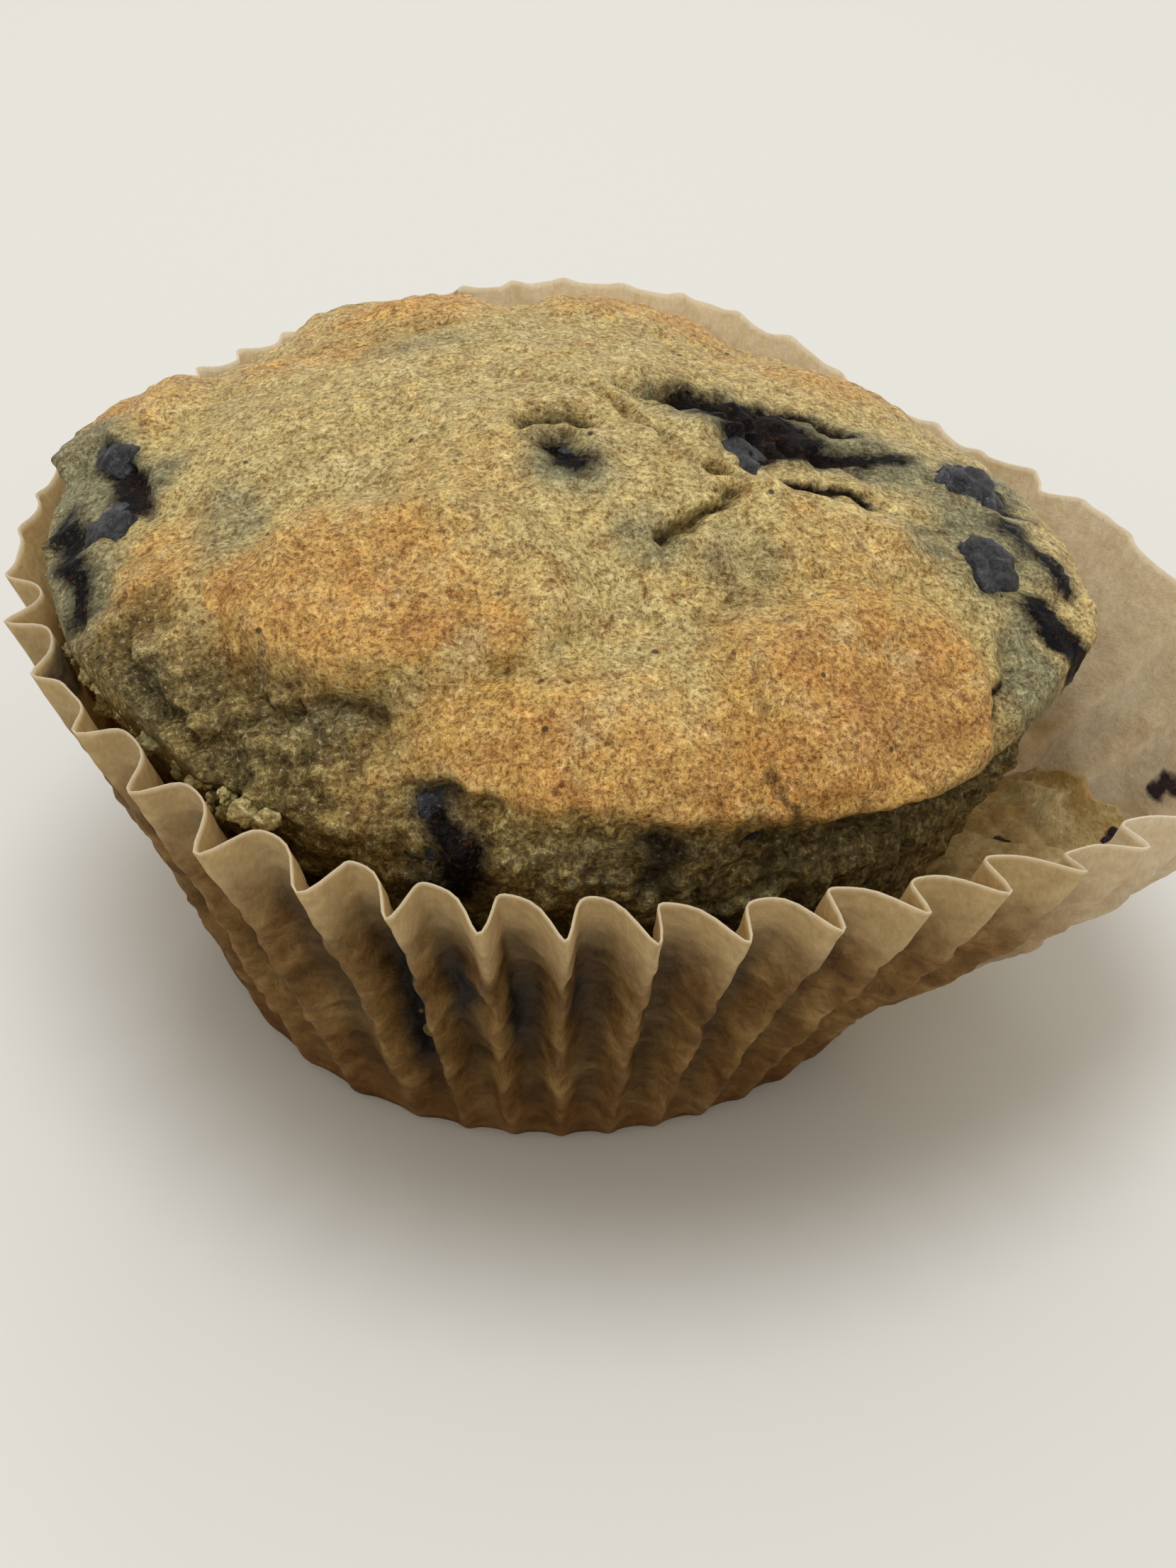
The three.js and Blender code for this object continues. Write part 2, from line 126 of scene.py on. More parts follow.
# How the sheet's rows are shared out: distance from its middle, lift in degrees.
CAKE_ROWS = ((0, 0.86, 0.95, 0.98, 1.0), (90, 8, -36, -50, -88))
DOME_RADIUS, DOME_SHOULDER, DOME_RISE = 34.0, 31.0, 11.7
DOME_LEAN = (-1.8, -0.8)
SWELLS = [  # azimuth, lift, spread, height
    (-90, 19, 30, 0.9),
    (74, 12, 34, 2.4),
    (108, 46, 24, -1.3),
    (20, 22, 26, 0.5),
    (138, 38, 48, -2.0),
    (-28, 6, 30, -1.6),
]
MOUNDS = [  # x, y, across, along, turn, height, edge
    (-9, -17.5, 12.5, 8, -8, 2.4, 0.36),
    (18.5, -22, 10.5, 8.5, 28, 2.3, 0.45),
    (3, -27.5, 11.5, 7, 6, 1.9, 0.75),
    (-24, -16, 6.5, 7, 40, 1.1, 0.5),
    (-29, 8.5, 6.5, 7.5, -35, 2.3, 0.4),
    (-12, 21, 9, 6, -20, 1.2, 0.45),
    (5, 23, 9.5, 7, 5, 1.1, 0.5),
    (20, 15, 8, 8, 38, 0.8, 0.55),
    (16, -11, 8.5, 6, -10, 0.9, 0.6),
    (1, -8, 15, 11, 0, 0.9, 0.8),
]

# Lines drawn on the crust, in plan: points, half-width, and how deep they go.
CRACKS = {
    "torn step": ([(11, -9.5), (9.2, -11.8), (7.4, -13.2), (6.1, -14.2)], 0.38, 1.3),
    "long crack": ([(-3.3, 3.2), (3, 1.6), (5, -2.5), (8, -5.5), (10.8, -7.4)], 0.4, 0.6),
    "crater floor": ([(7.5, 2.6), (11, 2.4), (14.5, 1.6), (17, -0.6), (20.5, 0.4)], 1.9, 1.8),
    "crater wall": ([(5.5, 3.2), (10, 5.4), (15.5, 6.6), (20, 5.6)], 0.7, 0.8),
    "crater hole": ([(13.2, -1.2), (14.6, -2.2)], 0.7, 2.4),
    "small hole": ([(10.4, -7.3), (11.4, -7.6)], 0.6, 1.8),
    "crater lip": ([(13.8, -7.4), (17.3, -6.4), (20.5, -6.2)], 0.5, 0.9),
    "split": ([(-1.6, -4.0), (0.2, -3.5), (2.0, -3.6)], 0.8, 1.9),
    "left fold": ([(-19, -24.6), (-15, -24.4), (-10.5, -25.4)], 0.7, 0.9),
    "left crevice": ([(-26.2, -16.5), (-24.6, -21), (-21.5, -24.4), (-18.5, -27.6)], 0.7, 1.1),
    "left tear": ([(-21.5, -21.8), (-18, -22.6), (-15.5, -24.2)], 0.5, 0.9),
    "front gully": ([(-10, -25.6), (-8.4, -29), (-6, -33)], 2.0, 0.3),
    "right edge": ([(27.6, -15), (27.4, -19), (25.5, -23.5)], 0.7, 0.6),
    "right crease": ([(11, -18), (9.6, -19.6), (8.6, -19)], 0.5, 0.5),
    "left seam": ([(-30, 4), (-27, -2.5), (-26.5, -5)], 0.8, 0.7),
    "back crease": ([(-19, 13.5), (-13, 12.5), (-8, 15)], 1.0, 0.5),
}

# Where the crust has taken more of the heat: x, y, half-sizes, strength.
TOASTED = [
    (-12, -18, 10, 7, 0.8),
    (-6.5, -21.5, 5.5, 3, 0.9),
    (-18.5, -15.5, 2.6, 4, 0.9),
    (-24.5, -13, 3.5, 6, 0.7),
    (18.5, -22, 10.5, 8, 0.95),
    (0, -28.5, 15, 5, 0.8),
    (12, -29, 14, 5, 0.85),
    (24, -25, 8, 6, 0.8),
    (-28, 9, 5, 5, 0.8),
    (-18, 12, 9, 4, 0.6),
    (-9, 18, 8, 4, 0.7),
    (6, 23, 10, 5, 0.75),
    (20, 17, 9, 6, 0.6),
    (2, 31, 16, 4, 0.4),
    (-22, 24, 8, 8, 0.5),
    (-4, -9, 5, 4, 0.3),
    (18, -12, 6, 4, 0.35),
]
# Where berry juice has soaked through and turned the batter grey-green.
SOAKED = [
    (-31, 1.5, 4.5, 8, 1.2),
    (-27, -1.5, 3.5, 4.5, 0.8),
    (-31, -9, 3.8, 7, 0.95),
    (-20.5, -9, 2.5, 6, 0.6),
    (-9, 10, 5, 3.5, 0.5),
    (-22, 10, 4, 2, 0.35),
    (0.7, -8.2, 3.8, 3.6, 0.85),
    (5.5, -14, 3, 3, 0.6),
    (11, -15.5, 3, 4.5, 0.5),
    (15.5, 1.8, 10.5, 6.6, 1.2),
    (22, 1, 7, 5.5, 0.85),
    (28, -6, 5, 9, 0.85),
    (30, 4, 4, 5, 0.9),
    (29.5, -17, 2.6, 7, 0.9),
    (-25, -20, 2.4, 4, 0.6),
    (-20, -26, 4, 1.6, 0.3),
    (-13, -25.5, 5, 1.4, 0.5),
    (-7.6, -31, 2.5, 3, 0.6),
    (-17, -21.7, 1.6, 1.4, 0.4),
    (8, -21, 2.5, 2.5, 0.35),
    (24, -9, 4, 3, 0.6),
]
# Where the crust has torn open between mounds and pale crumb shows: x, y, half-sizes, strength.
TORN = [
    (-2, -22.8, 7, 2.0, 1.0),
    (2.5, -20.5, 4, 2.5, 0.8),
    (-8, -24.8, 3, 1.3, 0.8),
    (8, -14, 3.0, 4.0, 0.6),
    (12, -17.5, 4, 3.0, 0.5),
    (20, -6, 6, 3.0, 0.6),
    (26, -1, 4, 3.5, 0.6),
    (13, -4.5, 4, 1.8, 0.7),
    (-23, -19, 3.5, 4, 0.8),
    (-17.5, -24, 6, 2.4, 0.9),
    (29, -4, 3, 5, 0.8),
    (30.5, -11, 2.6, 4, 0.8),
]
# Where berry skin itself lies in the surface: line, half-width, strength.
SKINS = [
    ([(10.5, 3.6), (14, 3.4), (17, 1.2), (14.5, -0.6)], 3.0, 1.3),
    ([(12.0, 1.4), (16, 0.8), (14, -1.2)], 3.2, 1.6),
    ([(16.5, 1.6), (20, 1.6), (23.5, 2.5)], 1.7, 0.9),
    ([(5.5, 3.0), (8.5, 4.0), (12, 5.6), (16, 6.6), (20.5, 5.6)], 1.0, 0.85),
    ([(13.8, -7.4), (17.3, -6.4), (20.5, -6.2)], 0.6, 0.95),
    ([(0.4, -6.8), (0.9, -8.8)], 2.0, 0.85),
    ([(-29.5, 3), (-28, -1), (-27.4, -4.2)], 1.5, 0.95),
    ([(-32.6, -1.5), (-31.4, -5), (-30.2, -9.5), (-30.2, -12.6)], 1.5, 0.85),
    ([(27.5, 4.6), (30, 3), (31.2, 0)], 1.5, 0.9),
    ([(29.6, -3.6), (31.7, -5.5), (32.2, -8.2)], 1.5, 0.85),
    ([(31.2, -11.4), (32.6, -12.8)], 1.9, 1.15),
    ([(30.2, -22), (32, -20.5)], 1.6, 0.7),
    ([(27.2, -17.8), (26.9, -20)], 0.45, 0.8),
    ([(23, -8), (25.5, -7)], 0.7, 0.55),
    ([(-7, -31), (-5.6, -33.5)], 1.8, 0.85),
    ([(-1.6, -4), (1.9, -3.6)], 0.8, 0.9),
    ([(5.3, -33.2), (6.5, -33.4)], 1.1, 0.7),
    ([(12, -29), (13, -30.5)], 0.8, 0.6),
]
# The crust's lower edge, where it overhangs the crumb along the front: azimuths, heights.
CRUST_EDGE = ((-40, -6, 3, 13, 28, 37, 53, 90), (34.6, 34.6, 33.8, 33.2, 32, 31, 28.4, 27.4))
CRUMBS = 95  # loose ones, caught at the left between cake and paper

# azimuth, lift, radius, how proud of the crust (less than 0 is sunk), flat
BERRIES = {
    "berry_split": (4, 73, 3.1, 0.15, 0.8),
    "berry_burst": (70, 57, 4.6, 0.5, 0.62),
    "berry_right_top": (72, 24.5, 3.0, 0.9, 0.85),
    "berry_right_low": (75, 13.5, 3.0, 0.7, 0.85),
    "berry_right_back": (92, 24, 3.4, 0.7, 0.8),
    "berry_left_top": (-98, 26, 3.2, -0.1, 0.8),
    "berry_left_low": (-80, 24.5, 3.5, -0.3, 0.66),
    "berry_front": (-15, 19, 4.0, -0.6, 0.85),
    "berry_front_side": (21, 17.5, 2.2, 0.4, 0.9),
}


# ---- small maths -------------------------------------------------------------------------------
def smoothstep(low, high, t):
    s = np.clip((t - low) / (high - low), 0, 1)
    return s * s * (3 - 2 * s)


def rounded_min(a, b, rounding):
    h = np.maximum(rounding - np.abs(a - b), 0) / rounding
    return np.minimum(a, b) - h * h * rounding / 4


def towards(azimuth, lift):
    a, b = np.radians(azimuth), np.radians(lift)
    return np.stack((np.sin(a) * np.cos(b), -np.cos(a) * np.cos(b), np.sin(b)), axis=-1)


def wander(points, size, seed, octaves=1):
    """Smooth noise from -1 to 1 at each point, with features of that size in mm."""
    shift = Vector((17.3 * seed, -9.1 * seed, 5.7 * seed))
    if octaves == 1:
        return np.array([noise.noise(Vector(p) / size + shift) for p in points])
    return np.array(
        [noise.fractal(Vector(p) / size + shift, 1.0, 2.0, octaves) for p in points]
    )


def lumps(points, size, seed):
    """Rounded crumbs packed together: high at their middles, low where they meet."""
    shift = Vector((3.1 * seed, 7.7 * seed, -4.3 * seed))
    near = [noise.voronoi(Vector(p) / size + shift)[0][0] for p in points]
    return 0.5 - 1.6 * np.array(near)


def line_distance(x, y, line):
    """Distance in plan from each point to a line of a few points."""
    nearest = np.full(x.shape, 1e9)
    for (ax, ay), (bx, by) in zip(line, line[1:]):
        dx, dy = bx - ax, by - ay
        t = np.clip(((x - ax) * dx + (y - ay) * dy) / (dx * dx + dy * dy), 0, 1)
        nearest = np.minimum(nearest, np.hypot(x - ax - t * dx, y - ay - t * dy))
    return nearest


# ---- mesh helpers ------------------------------------------------------------------------------
def lattice(name, columns, rows):
    """A flat grid two units across, and its points' places from -1 to 1."""
    bpy.ops.object.select_all(action="DESELECT")
    bpy.ops.mesh.primitive_grid_add(x_subdivisions=columns, y_subdivisions=rows, size=2)
    piece = bpy.context.active_object
    piece.name = name
    return piece, points_of(piece)


def points_of(piece):
    flat = np.zeros(len(piece.data.vertices) * 3)
    piece.data.vertices.foreach_get("co", flat)
    return flat.reshape(-1, 3)


def place_points(piece, points):
    piece.data.vertices.foreach_set("co", (points * MM).ravel())
    piece.data.update()


def keep_field(piece, name, values):
    """Stores one number a point, for the material to read."""
    field = piece.data.attributes.new(name, "FLOAT", "POINT")
    field.data.foreach_set("value", np.asarray(values, np.float32))


def take_up(piece):
    """Makes it the one piece that Blender's operators work on."""
    bpy.ops.object.select_all(action="DESELECT")
    piece.select_set(True)
    bpy.context.view_layer.objects.active = piece


def mend(piece):
    """Merges doubled points and turns the faces outwards."""
    take_up(piece)
    bpy.ops.object.mode_set(mode="EDIT")
    bpy.ops.mesh.select_all(action="SELECT")
    bpy.ops.mesh.remove_doubles(threshold=0.01 * MM)
    bpy.ops.mesh.normals_make_consistent(inside=False)
    bpy.ops.object.mode_set(mode="OBJECT")


def close_hole(piece, low_z):
    """Fills the open edge that lies below a height."""
    take_up(piece)
    bpy.ops.object.mode_set(mode="EDIT")
    bpy.ops.mesh.select_mode(type="VERT")
    bpy.ops.mesh.select_all(action="DESELECT")
    bpy.ops.mesh.select_non_manifold()
    bpy.ops.object.mode_set(mode="OBJECT")
    for edge in piece.data.edges:
        edge.select = False
    for vertex in piece.data.vertices:
        vertex.select = vertex.select and vertex.co.z < low_z * MM
    bpy.ops.object.mode_set(mode="EDIT")
    bpy.ops.mesh.edge_face_add()
    bpy.ops.object.mode_set(mode="OBJECT")


def finish_piece(piece, slot, material, *nodes):
    """Gives a piece its material and the CAD nodes that it stands in for; the slot is not used."""
    take_up(piece)
    bpy.ops.object.shade_smooth()
    piece.data.materials.clear()
    piece.data.materials.append(material)
    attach(piece, "root")
    if nodes:
        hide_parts(*nodes)


# ---- case shape --------------------------------------------------------------------------------
def pleat_azimuth(turn):
    at = (turn + 180) % 360 - 180
    return np.interp(at, PLEATS[:, 0], PLEATS[:, 1])


def wall_at(azimuth):
    """Lean at the foot, the flare and the rim, length and flute depth at each azimuth."""
    at = (azimuth + 180) % 360 - 180
    after = np.clip(np.searchsorted(WALL[:, 0], at, side="right"), 1, len(WALL) - 1)
    a, b = WALL[after - 1], WALL[after]
    share = smoothstep(a[:, 0], b[:, 0], at)[:, None]
    return (a[:, 1:] + (b[:, 1:] - a[:, 1:]) * share).T


def wall_reach(foot, flare, rim, length, up, steps=12):
    out = np.zeros_like(up)
    high = np.zeros_like(up)
    for i in range(steps):
        at = (i + 0.5) * up / steps
        flared = foot + (flare - foot) * smoothstep(0.08, 0.34, at)
        lean = np.radians(flared + (rim - flared) * smoothstep(0.4, 1, at))
        out += np.sin(lean) * up / steps * length
        high += np.cos(lean) * up / steps * length
    return out, high


def flute_growth(up):
    """Share of a flute's full depth that it has reached at a share of the wall's length."""
    return 0.1 + 0.9 * up**0.55


def case_room(azimuth, height):
    foot, flare, rim, length, depth = wall_at(azimuth)
    top = wall_reach(foot, flare, rim, length, np.ones_like(azimuth))[1]
    up = np.clip(height / top, 0, 1)
    out = wall_reach(foot, flare, rim, length, up)[0]
    valley = depth * flute_growth(up) * VALLEY_SHARE
    over = np.maximum(0, height - top - RIM_MARGIN)
    return BASE_RADIUS + out - valley - PAPER_OUT - CASE_GAP + 2 * over


def round_the_case(turn, seed, per_flute=1.0):
    """Noise that changes from flute to flute and meets itself after a whole turn."""
    beat = FLUTES * per_flute / (2 * math.pi)
    a = np.radians(turn)
    ring = np.stack((np.cos(a) * beat, np.sin(a) * beat, np.zeros_like(a)), axis=-1)
    return wander(ring, 1.0, seed)


def past_deep_fold(turn, up):
    """How far a point is round from the deep fold, which slants as it rises."""
    return turn - DEEP_FOLD + DEEP_FOLD_SLANT * (0.6 - up)


def paper_points(turn, up):
    """The paper's outer face: turn goes round in degrees, up from 0 at the foot to 1 at the rim."""
    azimuth = pleat_azimuth(turn)
    foot, flare, rim, length, depth = wall_at(azimuth)
    deep_fold = np.exp(-((past_deep_fold(turn, up) / 2.4) ** 2))
    smooth_side = smoothstep(-104, -96, turn) * (1 - smoothstep(-72, -64, turn))
    panel = np.maximum(np.exp(-(((turn + 50.5) / 4.2) ** 2)), smooth_side)
    depth = depth * (0.97 + 0.22 * round_the_case(turn, 3)) * (1 - 0.75 * panel)
    length = length - 0.35 + 0.3 * round_the_case(turn, 5, 0.6)
    length = length + 0.2 * round_the_case(turn, 8, 2.0)
    out, high = wall_reach(foot, flare, rim, length, up)
    around_case = np.radians(turn)
    seat = WALL_LENGTH * np.stack((np.sin(around_case), np.cos(around_case), up), axis=-1)
    slack = smoothstep(0.02, 0.2, up) * (1 - 0.75 * smoothstep(0.78, 0.97, up))
    phase = np.radians((turn - FIRST_RIDGE) * FLUTES) + 0.4 * round_the_case(turn, 6) * up**2
    phase = phase + slack * (0.55 * wander(seat, 6.0, 31) + 0.3 * wander(seat, 2.6, 32))
    grown = depth * flute_growth(up)
    wave = 0.92 * (np.cos(phase) + 0.3 * np.cos(2 * phase) + 0.05 * np.cos(3 * phase))
    lean = 0.24 * grown * up * (1 + 0.6 * round_the_case(turn, 7)) * np.cos(phase)
    radius = BASE_RADIUS + out + grown * wave - 0.9 * deep_fold * up * (1 - up) * 4
    crimp = 0.3 * wander(seat, 1.5, 12, 2) + 0.3 * wander(seat, 3.8, 13) - 0.25
    flap = smoothstep(52, 68, azimuth) * (1 - smoothstep(112, 128, azimuth))
    slump = 0.8 * wander(seat, 9.0, 15) + 0.35 * wander(seat, 4.2, 16) - 0.3
    crease = 0.7 * np.exp(-(((azimuth - 106.5) / 1.3) ** 2)) * smoothstep(0.55, 0.85, up)
    radius = radius + crimp * slack * (1 - 0.55 * flap) * (1 - 0.6 * smoothstep(0.6, 0.9, up))
    radius = radius + flap * (slump * smoothstep(0.1, 0.5, up) - crease)
    radius = radius + smooth_side * up * (0.7 * wander(seat, 7.0, 17) + 0.95)
    around = np.radians(azimuth) + (lean + slack * 0.35 * wander(seat, 2.0, 14)) / radius
    radius = radius + PAPER_OUT
    return np.stack((radius * np.sin(around), -radius * np.cos(around), high), axis=-1)


def soft_spots(azimuth, up, spots):
    """The strongest of a list of soft oval spots on the sheet."""
    total = np.zeros_like(up)
    for spot_azimuth, spot_up, across, along, strength in spots:
        off = ((azimuth - spot_azimuth) / across) ** 2 + ((up - spot_up) / along) ** 2
        total = np.maximum(total, strength * np.exp(-off))
    return total


def stains_on_sheet(azimuth, up):
    """The strongest of the round berry stains, measured in mm over the sheet."""
    total = np.zeros_like(up)
    for spot_azimuth, spot_up, size, strength in STAINS:
        across, along = (azimuth - spot_azimuth) * MM_A_DEGREE, (up - spot_up) * WALL_LENGTH
        off = np.hypot(across, along)
        total = np.maximum(total, strength * (1 - smoothstep(size * 0.5, size, off)))
    return total


def paper_inward(turn, up):
    """Unit direction from the sheet towards the cake."""
    along = paper_points(turn + 0.5, up) - paper_points(turn - 0.5, up)
    rising = paper_points(turn, np.minimum(up + 0.02, 1)) - paper_points(turn, up - 0.02)
    inward = np.cross(rising, along)
    return inward / np.linalg.norm(inward, axis=1, keepdims=True)


# ---- cake shape --------------------------------------------------------------------------------
def plain_radius(direction):
    ball = (DOME_RADIUS**2 + DOME_RISE**2) / (2 * DOME_RISE)
    centre = np.array((*DOME_LEAN, DOME_SHOULDER + DOME_RISE - ball)) - (0, 0, HEART[2])
    along = direction @ centre
    dome = along + np.sqrt(along**2 - centre @ centre + ball**2)
    across = np.hypot(direction[:, 0], direction[:, 1])
    up = direction[:, 2]
    slope = math.tan(math.radians(CAKE_FLARE))
    run = across - up * slope
    wall = np.where(run > 0.05, (FOOT_RADIUS + HEART[2] * slope) / np.maximum(run, 0.05), 1e3)
    floor = np.where(up < -0.01, (CAKE_FLOOR - HEART[2]) / np.minimum(up, -0.01), 1e3)
    radius = rounded_min(rounded_min(dome, wall, 0.9), floor, 1.6)
    for azimuth, lift, spread, height in SWELLS:
        off = np.degrees(np.arccos(np.clip(direction @ towards(azimuth, lift), -1, 1)))
        radius = radius + height * (1 - smoothstep(0, spread, off))
    return radius


def mound_share(x, y, mound):
    mx, my, across, along, turn, _, edge = mound
    c, s = math.cos(math.radians(turn)), math.sin(math.radians(turn))
    u = ((x - mx) * c + (y - my) * s) / across
    v = ((y - my) * c - (x - mx) * s) / along
    return 1 - smoothstep(1 - edge, 1, np.hypot(u, v))


def patches(x, y, places):
    """The strongest of a list of soft oval patches."""
    total = np.zeros_like(x)
    for px, py, across, along, strength in places:
        off = np.hypot((x - px) / across, (y - py) / along)
        total = np.maximum(total, strength * (1 - smoothstep(0.3, 1.35, off)))
    return total


def cake_surface(direction):
    """Radius in each direction, and the fields that its materials follow."""
    plain = plain_radius(direction)
    p = HEART + direction * plain[:, None]
    azimuth = np.degrees(np.arctan2(direction[:, 0], -direction[:, 1]))
    x = p[:, 0] + 1.1 * wander(p, 5.0, 1) + 0.35 * wander(p, 1.6, 2)
    y = p[:, 1] + 1.1 * wander(p, 5.0, 3) + 0.35 * wander(p, 1.6, 4)
    on_top = smoothstep(26.5, 33, p[:, 2])

    rise = np.zeros_like(plain)
    for mound in MOUNDS:
        rise = np.maximum(rise, mound[5] * mound_share(x, y, mound))
    rise = rise + 0.6 * wander(p, 7.0, 5) + 0.4 * wander(p, 3.2, 6) + 0.27 * wander(p, 1.4, 7, 2)

    # Painted shade, gathered for the material: the cracks, the open crumb's hollows and the groove
    # under the crust's lip.
    crack_shade = np.zeros_like(plain)
    jag_x = p[:, 0] + 0.5 * wander(p, 1.4, 8) + 0.9 * wander(p, 4.0, 9)
    jag_y = p[:, 1] + 0.5 * wander(p, 1.4, 10) + 0.9 * wander(p, 4.0, 11)
    for line, width, depth in CRACKS.values():
        share = np.exp(-((line_distance(jag_x, jag_y, line) / width) ** 2))
        rise = rise - depth * share
        crack_shade = np.maximum(crack_shade, share * min(1, depth / 1.2))

    front = smoothstep(-32, -14, azimuth) * (1 - smoothstep(70, 95, azimuth))
    edge_height = np.interp(azimuth, *CRUST_EDGE)
    below = edge_height + 0.7 * wander(p, 4.0, 14) + 0.35 * wander(p, 1.5, 19) - p[:, 2]
    overhang = front * (0.25 + 0.6 * smoothstep(-8, 28, azimuth) + 0.4 * wander(p, 6.0, 20))
    groove = smoothstep(-0.3, 1.8, below) * (1 - smoothstep(2.2, 7.0, below)) * overhang
    left_crumb = smoothstep(-75, -55, azimuth) * (1 - smoothstep(-26, -14, azimuth))
    left_crumb = left_crumb * (1 - smoothstep(35.0, 37.5, p[:, 2] + 0.8 * wander(p, 3, 15)))
    crumb = np.maximum(smoothstep(0.0, 0.8, below) * front, left_crumb)
    crumb = np.maximum(crumb, smoothstep(1.5, 4, below))
    torn = patches(x, y, TORN) * on_top * smoothstep(-0.35, 0.1, wander(p, 2.4, 21))
    packed = lumps(p, 2.4, 16)
    craggy = 0.75 * packed + 0.5 * lumps(p, 1.2, 17) + 0.3 * wander(p, 0.8, 18)
    open_crumb = np.maximum(left_crumb, 0.5 * crumb)
    crack_shade = np.maximum(crack_shade, 0.8 * open_crumb * smoothstep(0.0, -0.55, packed))
    rise = rise * on_top - 2.2 * groove + craggy * np.maximum(crumb, 0.8 * torn) - 0.3 * on_top

    burst = np.exp(-((line_distance(jag_x, jag_y, CRACKS["crater floor"][0]) / 3.2) ** 2))
    clots = lumps(p, 1.9, 22)
    rise = rise + 1.3 * clots * burst

    skin = np.zeros_like(plain)
    for line, width, strength in SKINS:
        share = np.exp(-((line_distance(jag_x, jag_y, line) / width) ** 2))
        skin = np.maximum(skin, strength * share * smoothstep(24, 28, p[:, 2]))
    skin = skin - 1.2 * np.maximum(clots, 0) * burst

    radius = plain + rise
    for at, lift, size, _, _ in BERRIES.values():
        outward = towards(at, lift)
        off = np.degrees(np.arccos(np.clip(direction @ outward, -1, 1))) * np.radians(1) * plain
        radius = radius + 0.45 * np.exp(-(((off - size * 0.72) / 0.9) ** 2))
        radius = radius - 0.7 * np.exp(-((off / (size * 0.55)) ** 2))
    across = np.maximum(np.hypot(direction[:, 0], direction[:, 1]), 1e-4)
    kept = radius
    for _ in range(4):
        room = case_room(azimuth, HEART[2] + direction[:, 2] * kept)
        kept = np.where(across > 0.3, np.minimum(radius, room / across), radius)

    soaked = patches(x, y, SOAKED) * smoothstep(22, 28, p[:, 2])
    under_lip = smoothstep(0.3, 2, below) * front * smoothstep(-15, 10, azimuth)
    soaked = np.maximum(soaked, 0.55 * under_lip)
    toast = patches(x, y, TOASTED) * on_top
    crack_shade = np.maximum(crack_shade, np.clip(groove, 0, 1))
    fields = dict(toast=toast, soaked=soaked, skin=skin, crumb=crumb, crack_shade=crack_shade, torn=torn)
    return kept, fields


def make_cake(material):
    """One sheet wrapped right round the heart: fine over the dome, coarser down to the foot."""
    cake, at = lattice("cake_crust", CAKE_CELLS, CAKE_CELLS)
    x, y = at[:, 0], at[:, 1]
    u = x * np.sqrt(1 - y * y / 2)
    v = y * np.sqrt(1 - x * x / 2)
    ring = np.clip(np.hypot(u, v), 0, 1)
    azimuth = np.degrees(np.arctan2(u, -v))
    lift = np.interp(ring, *CAKE_ROWS)
    direction = towards(azimuth, lift)
    radius, fields = cake_surface(direction)
    place_points(cake, HEART + direction * radius[:, None])
    for name, values in fields.items():
        keep_field(cake, name, values)
    mend(cake)
    close_hole(cake, 2.0)
    mend(cake)
    finish_piece(cake, "cake", material, "cake")


def make_case(material):
    """The pleated sheet, shaped from a flat grid, with its foot filled and its thickness added."""
    case, at = lattice("case_paper", FLUTES * COLUMNS_A_FLUTE, CASE_ROWS)
    turn = at[:, 0] * 180
    up = (at[:, 1] + 1) / 2
    points = paper_points(turn, up)
    place_points(case, points)
    azimuth = pleat_azimuth(turn)
    keep_field(case, "up", up)
    sheet_middle = BASE_RADIUS + wall_reach(*wall_at(azimuth)[:4], up)[0]
    outside = np.hypot(points[:, 0], points[:, 1]) - sheet_middle
    keep_field(case, "valley", smoothstep(0.8, -1.4, outside))
    # Juice stains, plus painted shadow down the deep fold, which runs highest of all.
    juice_and_fold_shadow = 1.5 * np.exp(-((past_deep_fold(turn, up) / 2.0) ** 2))
    juice_and_fold_shadow = juice_and_fold_shadow * smoothstep(0.16, 0.3, up) * (1 - smoothstep(0.66, 0.82, up))
    keep_field(case, "juice_and_fold_shadow", np.maximum(juice_and_fold_shadow, soft_spots(azimuth, up, JUICE)))
    keep_field(case, "stained", stains_on_sheet(azimuth, up))
    keep_field(case, "peeled", smoothstep(40, 56, azimuth) * (1 - smoothstep(125, 150, azimuth)))
    # Paler paper to the right and at the back, darker tan at the front: painted light and shade,
    # the front rims facing away from the light.
    keep_field(case, "painted_light_mask", np.maximum(smoothstep(40, 56, azimuth), smoothstep(95, 125, -azimuth)))
    keep_field(case, "torn", soft_spots(azimuth, up, PEELED_FIBRES))
    mend(case)
    close_hole(case, 1.0)
    mend(case)
    shell = case.modifiers.new("paper", "SOLIDIFY")
    shell.thickness = PAPER * MM
    shell.offset = -1
    bpy.ops.object.modifier_apply(modifier=shell.name)
    finish_piece(case, "paper", material, "paper_case")


